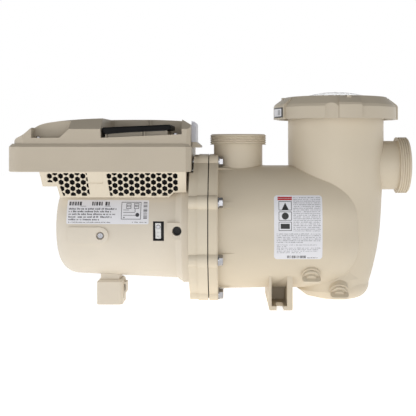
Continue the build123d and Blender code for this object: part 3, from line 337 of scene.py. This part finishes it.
# the finish of each CAD node
NODE_FINISH = {
    "motor": ["motor_housing", "motor_foot", "foot_clip"],
    "volute": ["pump_housing", "drain_plug_1", "drain_plug_2"],
    "plate": ["seal_plate"],
    "ring": ["clamp_ring"],
    "drive": ["drive_tray", "drive_cover", "drive_saddle"],
    "shroud": ["drive_shroud"],
    "basket": ["strainer_basket"],
    "black": ["impeller", "impeller_nut", "diffuser", "cooling_fan", "terminal_liner",
              "sensor_port_plug"],
    "panel": ["keypad_panel"],
    "button": [f"button_{name}" for name in BUTTONS],
    "seal": ["lid_o_ring", "seal_plate_gasket", "drain_plug_o_ring_1", "drain_plug_o_ring_2",
             "diffuser_o_ring", "drive_gasket"],
    "cover": ["keypad_cover"],
    "display": ["display_window"],
    "clear": ["strainer_lid"],
    "lens": ["end_lens"],
    "steel": ["flange_bolts", "flange_washers", "motor_screws", "drive_cover_screws",
              "keypad_hinge_pin"],
    "shaft": ["rotor_shaft"],
    "bearing": ["front_bearing", "rear_bearing"],
    "lug": ["bonding_lug"],
    "aluminium": ["stator_frame", "heat_sink"],
    "can": ["power_capacitors"],
    "lamination": ["stator_core", "rotor_core"],
    "copper": ["stator_windings"],
    "ceramic": ["shaft_seal_seat", "shaft_seal_head"],
    "board": ["control_board"],
    "screen": ["dust_screen"],
    "film": ["nameplate_label", "safety_label"],
    "film_black": ["ring_label"],
}


def finish_nodes(materials):
    for key, names in NODE_FINISH.items():
        for name in names:
            node = NODES[name]
            node.data.materials.clear()
            node.data.materials.append(materials[key])
    covered = {name for names in NODE_FINISH.values() for name in names}
    left = set(NODES) - covered
    if left:
        raise RuntimeError(f"nodes with no finish: {sorted(left)}")


# ---------------------------------------------------------------- printed labels
class Print:
    """Raised ink marks on one face of a CAD node.

    They are laid out in fractions of that face, from its top left corner. The reader looks along
    the towards direction, with across to the right.
    """

    THICK = 0.05 * MM       # height of the ink
    STAND_OFF = 20 * MM     # each mark is projected onto the face from this far in front of it
    DISC_PARTS = 14
    DISC_HUB = 0.02         # a disc's plates start at this part of its radius
    TRIANGLE_STRIPS = 10
    WORD_LENGTHS = (2, 8)   # blocks in a row's words

    def __init__(self, node, towards, across, down=DOWN):
        self.node = NODES[node]
        self.towards, self.across, self.down = Vector(towards), Vector(across), Vector(down)
        places = [vertex.co for vertex in self.node.data.vertices]
        self.left, self.width = self.extent(places, self.across)
        self.top, self.height = self.extent(places, self.down)
        self.near, _ = self.extent(places, self.towards)
        self.bm = bmesh.new()

    @staticmethod
    def extent(places, direction):
        along = [place.dot(direction) for place in places]
        return min(along), max(along) - min(along)

    def on_face(self, u, v, lift=0.0):
        """The point at fraction u across and v down, lifted off the face."""
        start = self.across * (self.left + u * self.width)
        start += self.down * (self.top + v * self.height)
        start += self.towards * (self.near - self.STAND_OFF)
        hit, place, normal, _ = self.node.ray_cast(start, self.towards)
        if not hit:
            return None
        return place + normal * lift

    def quad(self, corners):
        """A thin closed plate over four (u, v) corners."""
        low = [self.on_face(u, v, 0.0) for u, v in corners]
        high = [self.on_face(u, v, self.THICK) for u, v in corners]
        if None in low or None in high:
            return
        low = [self.bm.verts.new(place) for place in low]
        high = [self.bm.verts.new(place) for place in high]
        self.bm.faces.new(high)
        self.bm.faces.new(low[::-1])
        for index in range(4):
            after = (index + 1) % 4
            self.bm.faces.new((low[index], low[after], high[after], high[index]))

    def bar(self, u0, v0, u1, v1, step=0.06):
        """A filled rectangle, cut into short plates so that it follows the curve of the face."""
        columns = max(1, math.ceil((u1 - u0) / step))
        rows = max(1, math.ceil((v1 - v0) / step))
        for column in range(columns):
            for row in range(rows):
                a0 = u0 + (u1 - u0) * column / columns
                a1 = u0 + (u1 - u0) * (column + 1) / columns
                b0 = v0 + (v1 - v0) * row / rows
                b1 = v0 + (v1 - v0) * (row + 1) / rows
                self.quad([(a0, b1), (a1, b1), (a1, b0), (a0, b0)])

    def frame(self, u0, v0, u1, v1, line):
        """An outlined rectangle; line is its line width as a fraction of the label's height."""
        side = line * self.height / self.width
        self.bar(u0, v0, u1, v0 + line)
        self.bar(u0, v1 - line, u1, v1)
        self.bar(u0, v0 + line, u0 + side, v1 - line)
        self.bar(u1 - side, v0 + line, u1, v1 - line)

    def greek(self, u0, v, u1, height, seed, density=0.8, heights=(1.0, 0.72, 0.72, 0.72)):
        """A row of small blocks that stands for a line of print. It has no letters in it."""
        draw = random.Random(seed)
        unit = height * self.height / self.width
        u = u0
        while u < u1:
            for _ in range(draw.randint(*self.WORD_LENGTHS)):
                wide = unit * draw.uniform(0.30, 0.62)
                if u + wide > u1:
                    return
                tall = height * draw.choice(heights)
                if draw.random() < density:
                    self.bar(u, v + height - tall, u + wide, v + height)
                u += wide + unit * 0.22
            u += unit * 0.55

    def stripes(self, u0, v0, u1, v1, count, seed, upright=True):
        """Bars of uneven width, side by side."""
        draw = random.Random(seed)
        widths = [draw.choice((1, 1, 2, 3)) for _ in range(2 * count)]
        total = sum(widths)
        place = 0
        for index, width in enumerate(widths):
            a, b = place / total, (place + width) / total
            if index % 2 == 0 and upright:
                self.bar(u0 + (u1 - u0) * a, v0, u0 + (u1 - u0) * b, v1)
            elif index % 2 == 0:
                self.bar(u0, v0 + (v1 - v0) * a, u1, v0 + (v1 - v0) * b)
            place += width

    def disc(self, u, v, radius):
        """A round spot; radius is a fraction of the label's height."""
        side = self.height / self.width
        inner = radius * self.DISC_HUB
        for index in range(self.DISC_PARTS):
            a = 2 * math.pi * index / self.DISC_PARTS
            b = 2 * math.pi * (index + 1) / self.DISC_PARTS
            self.quad([(u + inner * side * math.cos(a), v + inner * math.sin(a)),
                       (u + inner * side * math.cos(b), v + inner * math.sin(b)),
                       (u + radius * side * math.cos(b), v + radius * math.sin(b)),
                       (u + radius * side * math.cos(a), v + radius * math.sin(a))])

    def triangle(self, u, v, radius):
        """A filled triangle; a negative radius points it down."""
        side = abs(radius) * self.height / self.width
        for strip in range(self.TRIANGLE_STRIPS):
            a, b = strip / self.TRIANGLE_STRIPS, (strip + 1) / self.TRIANGLE_STRIPS
            top, low = v + radius * (2 * a - 1), v + radius * (2 * b - 1)
            self.quad([(u - side * a, top), (u - side * b, low),
                       (u + side * b, low), (u + side * a, top)])

    def finish(self, name, material, body):
        """Make the marks drawn so far into one piece, and start afresh."""
        mesh = bpy.data.meshes.new(name)
        bmesh.ops.recalc_face_normals(self.bm, faces=self.bm.faces)
        self.bm.to_mesh(mesh)
        self.bm.free()
        self.bm = bmesh.new()
        piece = bpy.data.objects.new(name, mesh)
        bpy.context.scene.collection.objects.link(piece)
        mesh.materials.append(material)
        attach(piece, body)


def print_nameplate(materials):
    """Rating plate: a bold line, five rows, a small wiring sketch and a bar pattern."""
    plate = Print("nameplate_label", INTO_NEAR_SIDE, RIGHT)
    plate.greek(0.025, 0.075, 0.235, 0.155, 11, 1.0, (1.0,))
    plate.greek(0.305, 0.075, 0.535, 0.155, 12, 1.0, (1.0,))
    plate.bar(0.16, 0.252, 0.235, 0.266)
    plate.bar(0.46, 0.252, 0.535, 0.266)
    rows = ((0.33, 0.61), (0.44, 0.55), (0.55, 0.60), (0.665, 0.55), (0.775, 0.41))
    for row, (v, end) in enumerate(rows):
        plate.greek(0.025, v, end, 0.072, 20 + row, 0.97)
    plate.greek(0.025, 0.905, 0.535, 0.04, 30, 0.9)
    plate.greek(0.80, 0.895, 0.975, 0.04, 31, 0.9)
    plate.frame(0.665, 0.08, 0.905, 0.80, 0.022)
    for u in (0.725, 0.82):
        plate.frame(u, 0.13, u + 0.06, 0.36, 0.02)
        for hole in range(3):
            plate.bar(u + 0.012 + hole * 0.015, 0.19, u + 0.019 + hole * 0.015, 0.29)
    plate.bar(0.69, 0.40, 0.76, 0.418)
    plate.bar(0.69, 0.50, 0.83, 0.518)
    plate.bar(0.69, 0.62, 0.84, 0.638)
    plate.bar(0.83, 0.36, 0.836, 0.50)
    plate.disc(0.862, 0.61, 0.085)
    plate.disc(0.70, 0.72, 0.03)
    plate.stripes(0.935, 0.08, 0.98, 0.80, 17, 5, upright=False)
    plate.finish("nameplate_print", materials["ink"], "pump")


def print_safety_label(materials):
    """Instruction label: red header, three framed symbols, rows of print and a bar pattern."""
    label = Print("safety_label", INTO_NEAR_SIDE, RIGHT)
    label.bar(0.075, 0.022, 0.375, 0.075)
    label.finish("safety_header", materials["ink_red"], "pump")
    for row in range(20):
        label.greek(0.40, 0.026 + row * 0.0272, 0.965, 0.0145, 100 + row, 0.9)
    for row in range(6):
        label.greek(0.055, 0.592 + row * 0.0262, 0.965 if row < 5 else 0.6, 0.0145, 200 + row, 0.9)
    for row, end in enumerate((0.9, 0.25, 0.96, 0.92, 0.9, 0.55)):
        label.greek(0.055, 0.765 + row * 0.0245, end, 0.013, 300 + row, 0.8)
    label.finish("safety_rows", materials["ink_grey"], "pump")
    for v in SYMBOL_ROWS:
        label.frame(0.095, v, 0.365, v + 0.14, 0.008)
    label.triangle(0.23, SYMBOL_ROWS[0] + 0.078, 0.055)
    label.disc(0.23, SYMBOL_ROWS[1] + 0.07, 0.055)
    label.bar(0.135, SYMBOL_ROWS[2] + 0.03, 0.325, SYMBOL_ROWS[2] + 0.11)
    label.stripes(0.27, 0.942, 0.66, 0.985, 30, 9)
    label.greek(0.69, 0.97, 0.93, 0.014, 400, 0.9)
    label.finish("safety_marks", materials["film_black"], "pump")


def print_ring_label(materials):
    """Small plate on the clamp ring: a pale field with a dark border and a few dark bars."""
    towards = (math.cos(LABEL_TURN), math.sin(LABEL_TURN), 0)
    across = (math.sin(LABEL_TURN), -math.cos(LABEL_TURN), 0)
    plate = Print("ring_label", towards, across)
    plate.bar(0.04, 0.12, 0.90, 0.88)
    plate.finish("ring_label_field", materials["film"], "clamp_ring")
    plate.THICK = 0.09 * MM     # over the field
    for u in (0.60, 0.68, 0.76):
        plate.bar(u, 0.22, u + 0.035, 0.78)
    plate.finish("ring_label_bars", materials["film_black"], "clamp_ring")


def print_keypad(materials):
    """Marks under the flip cover: on the panel, on the display and one sign on each button."""
    panel = Print("keypad_panel", DOWN, RIGHT, TOWARDS_NEAR_SIDE)
    panel.frame(0.03, 0.02, 0.97, 0.40, 0.008)
    panel.bar(0.03, 0.94, 0.97, 0.955)
    for column in range(4):
        left = 0.085 + column * 0.236
        panel.greek(left, 0.635, left + 0.12, 0.018, 500 + column)
        panel.greek(left, 0.885, left + 0.12, 0.018, 510 + column)
    panel.finish("panel_print", materials["film"], "pump")
    screen = Print("display_window", DOWN, RIGHT, TOWARDS_NEAR_SIDE)
    screen.greek(0.06, 0.18, 0.90, 0.22, 520, 1.0, (1.0,))
    screen.greek(0.06, 0.58, 0.70, 0.22, 521, 1.0, (1.0,))
    screen.finish("display_rows", materials["segment"], "pump")
    for name in BUTTONS:
        sign = Print(f"button_{name}", DOWN, RIGHT, TOWARDS_NEAR_SIDE)
        if name.startswith("speed"):
            count = int(name[-1])
            for dot in range(count):
                sign.disc(0.5 + 0.14 * (dot - (count - 1) / 2), 0.5, 0.10)
        elif name == "up":
            sign.triangle(0.5, 0.52, 0.24)
        elif name == "down":
            sign.triangle(0.5, 0.48, -0.24)
        elif name == "menu":
            for v in (0.32, 0.46, 0.60):
                sign.bar(0.36, v, 0.64, v + 0.06)
        else:
            sign.disc(0.5, 0.5, 0.24)
        sign.finish(f"sign_{name}", materials["film_black"], f"button_{name}")


# ---------------------------------------------------------------- stage, lights and camera
def make_stage():
    """A pale floor that gives off light."""
    bpy.ops.mesh.primitive_plane_add(size=12, location=(0, 0, 0))
    floor = bpy.context.object
    floor.name = "floor"
    n = Nodes("pale_floor")
    base = n.ramp(n.noise(2.0), [(0.3, (0.90, 0.90, 0.90, 1)), (0.7, (0.93, 0.93, 0.93, 1))])
    n.set(Emission_Color=(1, 1, 1, 1), Emission_Strength=FLOOR_GLOW)
    n.set(Base_Color=base, Roughness=n.range(n.noise(30.0), 0.65, 0.8), Specular_IOR_Level=0.2)
    floor.data.materials.append(n.material)


def soft_box(name, place, target, size, watts):
    """A rectangular soft light, aimed at the target."""
    light = bpy.data.lights.new(name, "AREA")
    light.shape = "RECTANGLE"
    light.size, light.size_y = size
    light.energy = watts
    lamp = bpy.data.objects.new(name, light)
    bpy.context.scene.collection.objects.link(lamp)
    lamp.location = place
    lamp.rotation_euler = (Vector(target) - Vector(place)).to_track_quat("-Z", "Y").to_euler()


def make_world():
    """Pale surroundings that grow dimmer overhead."""
    world = bpy.data.worlds.new("studio")
    bpy.context.scene.world = world
    world.use_nodes = True
    tree = world.node_tree
    place = tree.nodes.new("ShaderNodeTexCoord")
    split = tree.nodes.new("ShaderNodeSeparateXYZ")
    tree.links.new(place.outputs["Generated"], split.inputs["Vector"])
    fade = tree.nodes.new("ShaderNodeMapRange")
    fade.inputs["From Min"].default_value = FADE_FROM
    fade.inputs["From Max"].default_value = FADE_TO
    fade.inputs["To Min"].default_value = HORIZON
    fade.inputs["To Max"].default_value = OVERHEAD
    tree.links.new(split.outputs["Z"], fade.inputs["Value"])
    tree.links.new(fade.outputs["Result"], tree.nodes["Background"].inputs["Strength"])
    tree.nodes["Background"].inputs["Color"].default_value = (1, 1, 1, 1)


def make_camera():
    """A level camera on the near side, with its lens shifted to place the pump in the picture."""
    camera = bpy.data.cameras.new("camera")
    camera.sensor_width = SENSOR_WIDTH
    camera.lens = FOCAL_LENGTH
    camera.shift_x = SHIFT_X
    camera.shift_y = SHIFT_Y
    camera.clip_end = 50
    holder = bpy.data.objects.new("camera", camera)
    bpy.context.scene.collection.objects.link(holder)
    holder.location = (CAMERA_X, -CAMERA_DISTANCE, CAMERA_HEIGHT)
    holder.rotation_euler = (math.radians(90), 0, 0)
    bpy.context.scene.camera = holder


def main():
    scene = bpy.context.scene
    scene.view_settings.view_transform = "Standard"
    scene.view_settings.look = "None"
    make_camera()
    make_stage()
    make_world()
    for light in SOFT_BOXES:
        soft_box(*light)
    materials = make_materials()
    finish_nodes(materials)
    print_nameplate(materials)
    print_safety_label(materials)
    print_ring_label(materials)
    print_keypad(materials)


main()
